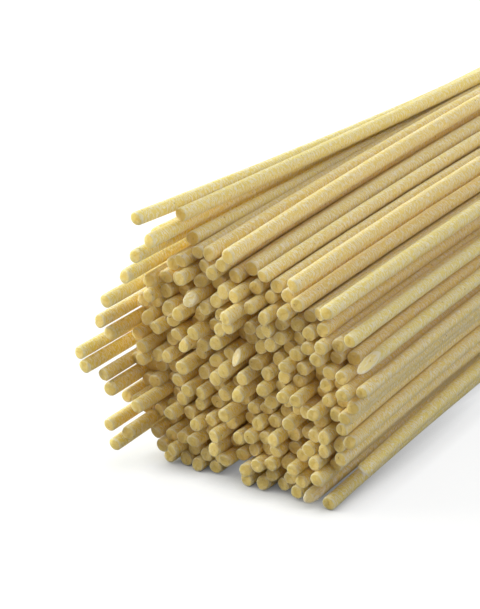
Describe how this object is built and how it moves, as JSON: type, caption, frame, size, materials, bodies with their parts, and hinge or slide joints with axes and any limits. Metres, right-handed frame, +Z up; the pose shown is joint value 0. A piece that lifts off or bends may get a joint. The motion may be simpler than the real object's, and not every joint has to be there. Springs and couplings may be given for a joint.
{
  "type": "bundle of dry spaghetti",
  "caption": "Loose bundle of thick, rough dry spaghetti lying on its side, drawn in at the waist, with uneven cut ends and a few strands splayed clear of the rest.",
  "frame": {"origin": "under the middle of the bundle, on the surface that it lies on", "axes": "+X along the strands, from the uneven near ends to the far ends; +Z up"},
  "size_m": [0.2658, 0.0448, 0.0391],
  "materials": {
    "dry_pasta": "dry durum wheat pasta, rough and floury from a bronze die, slightly translucent"
  },
  "bodies": {
    "root": {"spaghetti_bundle": "dry_pasta"}
  },
  "joints": []
}
